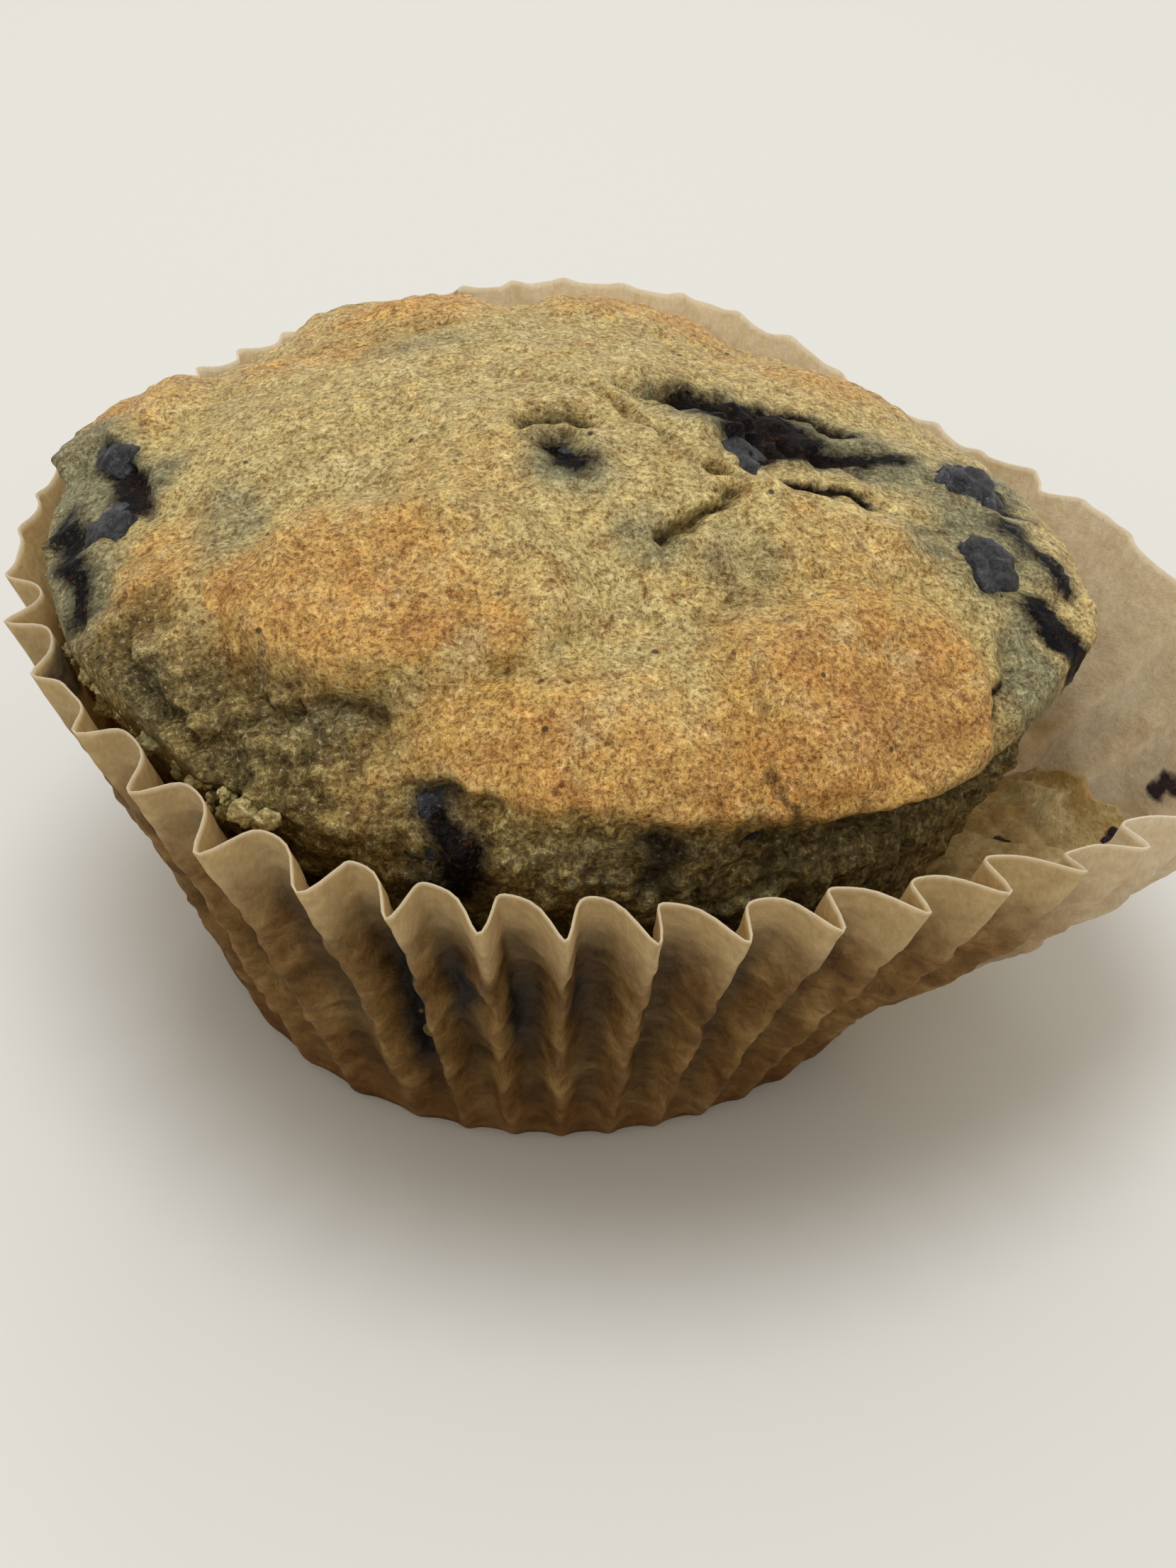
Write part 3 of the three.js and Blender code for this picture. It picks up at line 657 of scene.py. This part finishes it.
def make_stuck_crumb(material):
    """The film of greasy crumb that stayed on the paper where it was peeled from the cake."""
    film, at = lattice("crumb_on_paper", 150, 80)
    azimuth = turn = FILM_MIDDLE + FILM_HALF * at[:, 0]
    top = np.interp(azimuth, *FILM_TOP)
    share = (at[:, 1] + 1) / 2
    sheet = np.stack((azimuth * 0.55, share * 16, np.zeros_like(share)), axis=-1)
    ragged = 0.07 * wander(sheet, 3.2, 51, 3)
    up = FILM_FOOT + share * (top + ragged * smoothstep(0.3, 1, share) - FILM_FOOT)
    thick = 0.25 + 0.22 * wander(sheet, 2.2, 52) + 0.35 * np.maximum(lumps(sheet, 1.9, 53), 0)
    edge = smoothstep(0, 0.12, 1 - np.abs(at[:, 0])) * smoothstep(0, 0.1, 1 - share)
    heel = 5.5 * (1 - smoothstep(0.2, 0.95, share)) * (1 + 0.25 * wander(sheet, 4.0, 54))
    off = PAPER + 0.04 + (np.clip(thick, 0.08, 0.9) + heel) * edge
    place_points(film, paper_points(turn, up) + paper_inward(turn, up) * off[:, None])
    keep_field(film, "thick", np.clip(thick, 0, 1) * edge)
    keep_field(film, "stained", stains_on_sheet(azimuth, up))
    shell = film.modifiers.new("film", "SOLIDIFY")
    shell.thickness = 0.06 * MM
    bpy.ops.object.modifier_apply(modifier=shell.name)
    finish_piece(film, "cake", material)


def make_crumbs(material):
    """Loose crumbs caught between the cake and the paper, mostly at the left."""
    bpy.ops.object.select_all(action="DESELECT")
    bpy.ops.mesh.primitive_ico_sphere_add(subdivisions=3, radius=1)
    crumbs = bpy.context.active_object
    crumbs.name = "crumbs"
    copies = crumbs.modifiers.new("copies", "ARRAY")
    copies.count = CRUMBS
    bpy.ops.object.modifier_apply(modifier=copies.name)
    ball = points_of(crumbs)
    ball = ball[: len(ball) // CRUMBS]
    azimuth = rng.uniform(-90, -30, CRUMBS)
    size = rng.uniform(0.28, 0.85, CRUMBS) ** 1.3
    top = wall_reach(*wall_at(azimuth)[:4], np.ones(CRUMBS))[1]
    height = top - rng.uniform(0.4, 3.0, CRUMBS)
    out = case_room(azimuth, height) + CASE_GAP * 0.5 - 0.6 * size
    out = out + rng.uniform(-0.7, 0.3, CRUMBS)
    level = np.zeros(CRUMBS)
    places = out[:, None] * towards(azimuth, level) + np.outer(height, (0, 0, 1))
    shaped = []
    for place, lump in zip(places, size):
        seat = ball * 1.3 + place
        grown = 1 + 0.6 * wander(seat, 0.7, 61, 2)[:, None]
        shaped.append(ball * grown * lump * rng.uniform(0.75, 1.25, 3) + place)
    place_points(crumbs, np.concatenate(shaped))
    finish_piece(crumbs, "cake", material)


def make_berry(name, crust, material):
    """A baked berry: a ball sunk in on itself, its skin wrinkled over the shrunken flesh."""
    azimuth, lift, size, proud, flat = BERRIES[name]
    outward = towards(azimuth, lift)
    reach = crust + proud - size * flat
    bpy.ops.object.select_all(action="DESELECT")
    bpy.ops.mesh.primitive_ico_sphere_add(subdivisions=6, radius=1)
    berry = bpy.context.active_object
    berry.name = name + "_skin"
    ball = points_of(berry)
    seed = 30 + list(BERRIES).index(name)
    fold = np.abs(wander(ball * size, 1.4, seed)) * 0.75 + 0.2 * wander(ball * size, 3.0, seed + 20)
    fine = wander(ball * size, 0.6, seed + 40, 2) * 0.14
    shaped = ball * (size + fold[:, None] + fine[:, None] - 0.1)
    along = shaped @ outward
    shaped = shaped + outward * (along * (flat - 1))[:, None]
    place_points(berry, shaped + HEART + outward * reach)
    finish_piece(berry, "berry", material, name)


# ---- materials ---------------------------------------------------------------------------------
def colour(code):
    """An sRGB hex colour as linear RGBA."""
    parts = [int(code[i : i + 2], 16) / 255 for i in (1, 3, 5)]
    linear = [c / 12.92 if c <= 0.04045 else ((c + 0.055) / 1.055) ** 2.4 for c in parts]
    return (*linear, 1.0)


def add_node(tree, kind, inputs=(), out=None, stops=(), **settings):
    """Adds one node with its settings and its ramp's stops, sets or links its inputs, by name or
    in the order it shows them, and gives back the named output, or else the first."""
    made = tree.nodes.new("ShaderNode" + kind)
    for key, value in settings.items():
        setattr(made, key, value)
    for i, (place, shade) in enumerate(stops):
        points = made.color_ramp.elements
        point = points[i] if i < 2 else points.new(place)
        point.position = place
        point.color = colour(shade) if isinstance(shade, str) else (shade, shade, shade, 1)
    named = isinstance(inputs, dict)
    sockets = made.inputs if named else [socket for socket in made.inputs if socket.enabled]
    for key, value in inputs.items() if named else enumerate(inputs):
        if isinstance(value, bpy.types.NodeSocket):
            tree.links.new(value, sockets[key])
        else:
            sockets[key].default_value = value
    shown = [socket for socket in made.outputs if out in (socket.name, None) and socket.enabled]
    return shown[0] if shown else None


def start_material(name, *fields):
    """A new material without nodes, what adds nodes to it, and its piece's fields as outputs."""
    material = bpy.data.materials.new(name)
    material.use_nodes = True
    material.node_tree.nodes.clear()
    add = partial(add_node, material.node_tree)
    stored = [add("Attribute", attribute_name=field, out="Fac") for field in fields]
    return material, add, *stored


# How two colours or two numbers are put together: settings for Mix and Math nodes.
BLEND = {"data_type": "RGBA"}
DARKEN = {"data_type": "RGBA", "blend_type": "MULTIPLY"}
TIMES = {"operation": "MULTIPLY"}
SCALE = {"operation": "MULTIPLY_ADD"}
SHARE = {"operation": "MULTIPLY_ADD", "use_clamp": True}


def baked_crust():
    """Baked muffin batter: a thin, dull golden skin over soft crumb. It gives the eye fine
    wrinkles and pores, warm brown on the mounds and grey-green where juice has soaked in."""
    material, add, toast, soaked, skin, crumb, crack_shade, torn = start_material(
        "baked muffin crust", "toast", "soaked", "skin", "crumb", "crack_shade", "torn"
    )
    place = add("TexCoord", out="Object")
    # Patterns by the size of their marks in mm, detail, roughness and distortion.
    fine, grain, crease, scratch, mottle, cream, cloud = [
        add("TexNoise", (place, 1 / (size * MM), detail, rough, 2.0, warp))
        for size, detail, rough, warp in (
            (0.3, 4, 0.7, 0),
            (0.55, 5, 0.65, 0),
            (1.1, 6, 0.62, 0.8),
            (1.7, 4, 0.6, 2.2),
            (2.6, 4, 0.6, 0),
            (3.6, 5, 0.65, 0),
            (7.5, 3, 0.55, 0),
        )
    ]

    browned = add("Math", (toast, 0.7, add("Math", (mottle, 0.8, -0.32), **SCALE)), **SCALE)
    browned = add("Math", (browned, add("Math", (crease, 0.4, -0.2), **SCALE)))
    baked = [(0.0, "#dbca8c"), (0.3, "#dfc078"), (0.55, "#e6b766"), (0.8, "#d39b50")]
    golden = add("ValToRGB", (browned,), stops=[*baked, (1.0, "#aa733a")])
    dull = add("Math", (add("Math", (cloud, 1.2, -0.35), **SHARE), 0.4), **TIMES)
    golden = add("Mix", (dull, golden, colour("#b7ab70")), **BLEND)
    cream = add("Math", (cream, add("Math", (torn, 0.2), **TIMES)))
    cream = add("ValToRGB", (cream,), stops=[(0.52, 0.0), (0.76, 0.6)])
    golden = add("Mix", (cream, golden, colour("#efdfa8")), **BLEND)

    soak = add("Math", (soaked, add("Math", (mottle, 0.9, -0.5), **SCALE)))
    soak = add("ValToRGB", (soak,), stops=[(0.12, 0.0), (0.75, 1.0)])
    green = add("ValToRGB", (grain,), stops=[(0.3, "#4e5746"), (0.5, "#84886a"), (0.68, "#b5b388")])
    skinned = add("Mix", (add("Math", (soak, 0.85), **TIMES), golden, green), **BLEND)
    # The crumb's own yellow, whose darkest end is painted shade in its pores.
    yellow = [(0.34, "#33290f"), (0.5, "#7f6e36"), (0.63, "#ccbd7e")]
    inside = add("ValToRGB", (grain,), stops=yellow)
    inside = add("Mix", (add("Math", (soak, 0.6), **TIMES), inside, green), **BLEND)
    shade = add("Mix", (add("Math", (crumb, 0.75), **TIMES), skinned, inside), **BLEND)

    berry = add("Math", (skin, add("Math", (grain, 0.9, -0.5), **SCALE)))
    berry = add("ValToRGB", (berry,), stops=[(0.22, 0.0), (0.72, 1.0)])
    ink = add("ValToRGB", (mottle,), stops=[(0.35, "#080a10"), (0.6, "#141720"), (0.75, "#242c30")])
    shade = add("Mix", (berry, shade, ink), **BLEND)
    # Painted shade: the cracks, the crumb's hollows and the groove under the lip go dark brown.
    shade = add("Mix", (add("Math", (crack_shade, 0.68), **TIMES), shade, colour("#2b1c0d")), **BLEND)

    # Painted shade darkens the pores, the creases and the fine bumps' hollows, and painted light
    # lifts their crests; with brown specks, thin broken scratches, painted glints and dark flecks.
    pores = add("TexVoronoi", {"Vector": place, "Scale": 1 / (0.8 * MM)})
    hole = add("ValToRGB", (pores,), stops=[(0.0, 0.55), (0.35, 1.0)])
    shade = add("Mix", (0.6, shade, hole), **DARKEN)
    # Painted shade in the creases and painted light on their crests, in step with the crease bumps.
    crease_shade_and_light = add("ValToRGB", (crease,), stops=[(0.34, "#c3a884"), (0.5, 0.96), (0.68, 1.25)])
    shade = add("Mix", (0.8, shade, crease_shade_and_light), **DARKEN)
    # Brown specks, which also paint shade in the fine bumps' hollows and light on their crests.
    speck_and_bump_shading = add("ValToRGB", (fine,), stops=[(0.36, "#bb9763"), (0.5, 1.0), (0.64, 1.38)])
    shade = add("Mix", (1.0, shade, speck_and_bump_shading), **DARKEN)
    scratch = add("Math", (scratch, 0.5), operation="SUBTRACT")
    scratch = add("Math", (scratch,), operation="ABSOLUTE")
    scratch = add("ValToRGB", (scratch,), stops=[(0.004, 1.0), (0.016, 0.0)])
    broken = add("ValToRGB", (grain,), stops=[(0.5, 0.0), (0.58, 0.8)])
    scratch = add("Math", (scratch, broken), **TIMES)
    shade = add("Mix", (scratch, shade, colour("#6e4718")), **BLEND)
    # Painted glints: small near-white spots on the fine bumps' crests, kept off the berry skin.
    painted_glint = add("ValToRGB", (fine,), stops=[(0.6, 0.0), (0.68, 0.44)])
    painted_light_mask = add("Math", (1.0, berry), operation="SUBTRACT", use_clamp=True)
    shade = add("Mix", (add("Math", (painted_glint, painted_light_mask), **TIMES), shade, colour("#fff6da")), **BLEND)
    fleck = add("TexVoronoi", {"Vector": place, "Scale": 1 / (3.4 * MM)})
    fleck = add("ValToRGB", (fleck,), stops=[(0.045, 0.85), (0.075, 0.0)])
    shade = add("Mix", (fleck, shade, colour("#33200f")), **BLEND)

    normal = add("NewGeometry", out="Normal")
    for height, strength, depth in ((crease, 1.0, 0.8), (pores, 0.8, 0.3), (fine, 1.0, 0.22)):
        bump = {"Height": height, "Strength": strength, "Distance": depth * MM, "Normal": normal}
        normal = add("Bump", bump)
    dark = add("Math", (berry, add("Math", (crack_shade, 0.85), **TIMES)), operation="MAXIMUM")
    surface = {
        "Base Color": shade,
        "Roughness": add("ValToRGB", (grain,), stops=[(0.3, 0.3), (0.7, 0.5)]),
        "IOR": 1.45,
        "Specular IOR Level": add("Math", (dark, -0.42, 0.5), **SCALE),
        "Subsurface Weight": 0.12,
        "Subsurface Scale": 1.2 * MM,
        "Subsurface Radius": (1.0, 0.55, 0.25),
        "Normal": normal,
    }
    add("OutputMaterial", (add("BsdfPrincipled", surface),))
    return material


def case_paper():
    """Greaseproof case paper: thin unbleached tissue, pleated hot. It gives the eye long pale
    fibres, a clean rim, and a darker, clearer body where butter has soaked it."""
    material, add, up, valley, juice_and_fold_shadow, stained, peeled, painted_light_mask, torn = start_material(
        "greaseproof case paper", "up", "valley", "juice_and_fold_shadow", "stained", "peeled", "painted_light_mask", "torn"
    )
    place = add("TexCoord", out="Object")
    upright = add("Mapping", {"Vector": place, "Scale": (1.0, 1.0, 0.22)})
    squat = add("Mapping", {"Vector": place, "Scale": (1.0, 1.0, 1.25)})
    # Patterns by where they lie, the size of their marks in mm, detail, roughness and distortion.
    blotch, speck, fibre, crepe = [
        add("TexNoise", (seat, 1 / (size * MM), detail, rough, 2.0, warp))
        for seat, size, detail, rough, warp in (
            (place, 4.5, 5, 0.6, 0),
            (place, 0.9, 5, 0.65, 0),
            (upright, 0.22, 3, 0.6, 0),
            (squat, 1.5, 6, 0.65, 0.15),
        )
    ]

    height = add("Math", (up, add("Math", (blotch, 0.22, -0.11), **SCALE)))
    greasy = add("ValToRGB", (height,), stops=[(0.72, 1.0), (0.92, 0.0)])
    greasy = add("Math", (greasy, add("Math", (peeled, -0.78, 1.0), **SCALE)), **TIMES)
    # Clean paper: paler where light is painted, tan as painted shade on the front rims.
    pale = add("ValToRGB", (speck,), stops=[(0.3, "#ecdcbb"), (0.7, "#f9f0dc")])
    tan = add("ValToRGB", (speck,), stops=[(0.3, "#cdb484"), (0.7, "#e6d1a2")])
    clean = add("Mix", (painted_light_mask, tan, pale), **BLEND)
    butter = [(0.3, "#7f5d28"), (0.5, "#ae8648"), (0.7, "#d3b072")]
    buttery = add("ValToRGB", (blotch,), stops=butter)
    low = add("ValToRGB", (height,), stops=[(0.0, 0.6), (0.3, 0.0)])
    buttery = add("Mix", (low, buttery, colour("#93602a")), **BLEND)
    sheet = add("Mix", (greasy, clean, buttery), **BLEND)
    torn = add("Math", (torn, add("Math", (blotch, 1.6, -0.2), **SHARE)), **TIMES)
    sheet = add("Mix", (torn, sheet, colour("#f3e8cf")), **BLEND)

    ink = add("Math", (juice_and_fold_shadow, add("Math", (valley, 0.75, 0.25), **SCALE)), **TIMES)
    ink = add("Math", (ink, add("Math", (blotch, 0.8, -0.42), **SCALE)))
    ink = add("ValToRGB", (ink,), stops=[(0.1, 0.0), (0.7, 0.8)])
    sheet = add("Mix", (ink, sheet, colour("#55565a")), **BLEND)
    berry = add("Math", (stained, add("Math", (speck, 0.8, -0.45), **SCALE)))
    berry = add("ValToRGB", (berry,), stops=[(0.3, 0.0), (0.85, 1.0)])
    sheet = add("Mix", (berry, sheet, colour("#44303a")), **BLEND)
    # Painted shade deep in the flutes' valleys, on the greasy part.
    shaded = add("ValToRGB", (valley,), stops=[(0.35, 1.0), (0.95, 0.36)])
    sheet = add("Mix", (add("Math", (greasy, 0.9), **TIMES), sheet, shaded), **DARKEN)
    threads = add("ValToRGB", (fibre,), stops=[(0.3, 0.86), (0.7, 1.06)])
    sheet = add("Mix", (0.8, sheet, threads), **DARKEN)
    # Painted highlight: a pale line along the rim's very edge.
    edge = add("ValToRGB", (up,), stops=[(0.99, 0.0), (0.999, 0.5)])
    sheet = add("Mix", (edge, sheet, colour("#faf3e2")), **BLEND)
    # Painted shadow, near black, down the deep fold; it also darkens the hearts of the strongest
    # juice stains.
    fold_shadow_and_stain = add("ValToRGB", (juice_and_fold_shadow,), stops=[(0.75, 0.0), (1.0, 0.95)])
    sheet = add("Mix", (fold_shadow_and_stain, sheet, colour("#1c140d")), **BLEND)
    # The greasy paper's crepe tone, darker in the crepe's hollows and lighter on its ridges: partly
    # painted shade and light, in step with the crepe bumps.
    wrinkled = add("ValToRGB", (crepe,), stops=[(0.36, "#c8b594"), (0.6, 1.12)])
    sheet = add("Mix", (add("Math", (greasy, 0.8), **TIMES), sheet, wrinkled), **DARKEN)

    rumpled = add("Math", (greasy, 0.75, 0.25), **SCALE)
    rumpled = add("Math", (crepe, add("Mix", (peeled, rumpled, 0.45))), **TIMES)
    normal = add("NewGeometry", out="Normal")
    for height, strength, depth in ((rumpled, 0.9, 0.5), (speck, 0.5, 0.12), (fibre, 0.4, 0.03)):
        bump = {"Height": height, "Strength": strength, "Distance": depth * MM, "Normal": normal}
        normal = add("Bump", bump)
    rough = add("ValToRGB", (greasy,), stops=[(0.0, 0.75), (1.0, 0.48)])
    front = {"Base Color": sheet, "Roughness": rough, "IOR": 1.45, "Normal": normal}
    through = add("BsdfTranslucent", (sheet, normal))
    share = add("Math", (greasy, 0.04, 0.45), **SCALE)
    add("OutputMaterial", (add("MixShader", (share, add("BsdfPrincipled", front), through)),))
    return material


def loose_crumb():
    """Soft muffin crumb, broken open: pale yellow, dull and porous, greener on some faces."""
    material, add = start_material("soft muffin crumb")
    place = add("TexCoord", out="Object")
    grain = add("TexNoise", (place, 1 / (0.5 * MM), 5, 0.65))
    drift = add("TexNoise", (place, 1 / (4.0 * MM), 2, 0.5))
    pale = [(0.36, "#7d6c3a"), (0.5, "#b3a26a"), (0.62, "#e2d7ac")]
    shade = add("ValToRGB", (grain,), stops=pale)
    green = add("ValToRGB", (drift,), stops=[(0.48, 0.0), (0.62, 0.7)])
    surface = {
        "Base Color": add("Mix", (green, shade, colour("#8b8a62")), **BLEND),
        "Roughness": 0.6,
        "IOR": 1.45,
        "Subsurface Weight": 0.15,
        "Subsurface Scale": 0.8 * MM,
        "Subsurface Radius": (1.0, 0.6, 0.3),
        "Normal": add("Bump", {"Height": grain, "Strength": 1.0, "Distance": 0.3 * MM}),
    }
    add("OutputMaterial", (add("BsdfPrincipled", surface),))
    return material


def stuck_crumb():
    """A greasy film of crumb on paper: yellow-brown and half clear, with darker berry smears. It
    gives the eye small pale lumps standing out of a shiny, deeper film."""
    material, add, thick, stained = start_material("greasy crumb film", "thick", "stained")
    place = add("TexCoord", out="Object")
    grain = add("TexNoise", (place, 1 / (0.7 * MM), 5, 0.65))
    blotch = add("TexNoise", (place, 1 / (3.5 * MM), 3, 0.6))
    body = add("Math", (grain, 0.8, add("Math", (thick, 0.7, -0.2), **SCALE)), **SCALE)
    shade = add("ValToRGB", (body,), stops=[(0.2, "#b89a5c"), (0.42, "#dcc48c"), (0.7, "#f6ebc6")])
    brown = add("ValToRGB", (blotch,), stops=[(0.45, 0.0), (0.65, 0.7)])
    shade = add("Mix", (brown, shade, colour("#c79c5c")), **BLEND)
    dark = add("Math", (stained, add("Math", (grain, 0.8, -0.45), **SCALE)))
    dark = add("ValToRGB", (dark,), stops=[(0.35, 0.0), (0.6, 1.0)])
    shade = add("Mix", (dark, shade, colour("#2c1d26")), **BLEND)
    bump = add("Bump", {"Height": grain, "Strength": 0.8, "Distance": 0.3 * MM})
    front = {"Base Color": shade, "Roughness": 0.42, "IOR": 1.45, "Normal": bump}
    through = add("BsdfTranslucent", (shade,))
    add("OutputMaterial", (add("MixShader", (0.12, add("BsdfPrincipled", front), through)),))
    return material


def berry_skin():
    """Baked blueberry skin: shrunken, blue-black, with a waxy bloom. It gives the eye fine
    wrinkles that shine on their crests."""
    material, add = start_material("baked blueberry skin")
    place = add("TexCoord", out="Object")
    bloom = add("TexNoise", (place, 1 / (1.6 * MM), 4, 0.6))
    wrinkle = add("TexNoise", (place, 1 / (0.5 * MM), 4, 0.6, 2.0, 1.0))
    blue_black = [(0.3, "#111118"), (0.52, "#22252f"), (0.72, "#474b57")]
    surface = {
        "Base Color": add("ValToRGB", (bloom,), stops=blue_black),
        "Roughness": 0.33,
        "IOR": 1.5,
        "Normal": add("Bump", {"Height": wrinkle, "Strength": 1.0, "Distance": 0.35 * MM}),
    }
    add("OutputMaterial", (add("BsdfPrincipled", surface),))
    return material


def pale_table():
    """White card under the muffin: dull, faintly cool, with hardly any grain."""
    material, add = start_material("white card")
    surface = {"Base Color": colour("#dadbda"), "Roughness": 0.7}
    add("OutputMaterial", (add("BsdfPrincipled", surface),))
    return material


# ---- camera ------------------------------------------------------------------------------------
CAMERA_PLACE = (0.0, -123.9, 111.2)
CAMERA_AIM = (0.0134, 0.774, -0.6331)
LENS = 50.0  # mm on a 36 mm high sensor


def set_camera():
    """A hand-held view from in front and above."""
    data = bpy.data.cameras.new("camera")
    data.lens = LENS
    data.sensor_width = 36.0
    data.clip_start = 0.01
    camera = bpy.data.objects.new("camera", data)
    bpy.context.scene.collection.objects.link(camera)
    camera.location = Vector(CAMERA_PLACE) * MM
    camera.rotation_euler = Vector(CAMERA_AIM).to_track_quat("-Z", "Y").to_euler()
    bpy.context.scene.camera = camera


# ---- light -------------------------------------------------------------------------------------
def area_light(name, place, size, watts, shade):
    data = bpy.data.lights.new(name, "AREA")
    data.shape = "DISK"
    data.size = size * MM
    data.energy = watts
    data.color = shade
    lamp = bpy.data.objects.new(name, data)
    bpy.context.scene.collection.objects.link(lamp)
    lamp.location = Vector(place) * MM
    lamp.rotation_euler = (Vector((0, 0, 20)) - Vector(place)).to_track_quat("-Z", "Y").to_euler()


def set_light():
    """A large soft window behind the muffin, and a dim, even room."""
    world = bpy.data.worlds.new("room")
    world.use_nodes = True
    sky = world.node_tree.nodes["Background"]
    sky.inputs["Color"].default_value = (1.0, 0.91, 0.77, 1)
    sky.inputs["Strength"].default_value = 0.7
    bpy.context.scene.world = world
    area_light("ceiling", (0, 0, 1000), 500, 4.6, (0.92, 0.96, 1.0))
    area_light("window", (-150, 1900, 1350), 700, 3.9, (0.97, 0.98, 1.0))
    bpy.context.scene.view_settings.view_transform = "Standard"


# ---- the muffin --------------------------------------------------------------------------------
set_camera()
set_light()

bpy.ops.object.select_all(action="DESELECT")
bpy.ops.mesh.primitive_plane_add(size=3.0, location=(0, 0, -0.05 * MM))
table = bpy.context.active_object
table.name = "table"
table.data.materials.append(pale_table())

make_cake(baked_crust())
make_case(case_paper())
make_stuck_crumb(stuck_crumb())
make_crumbs(loose_crumb())
skin_material = berry_skin()
berry_directions = np.array([towards(b[0], b[1]) for b in BERRIES.values()])
for berry_name, crust in zip(BERRIES, cake_surface(berry_directions)[0]):
    make_berry(berry_name, crust, skin_material)
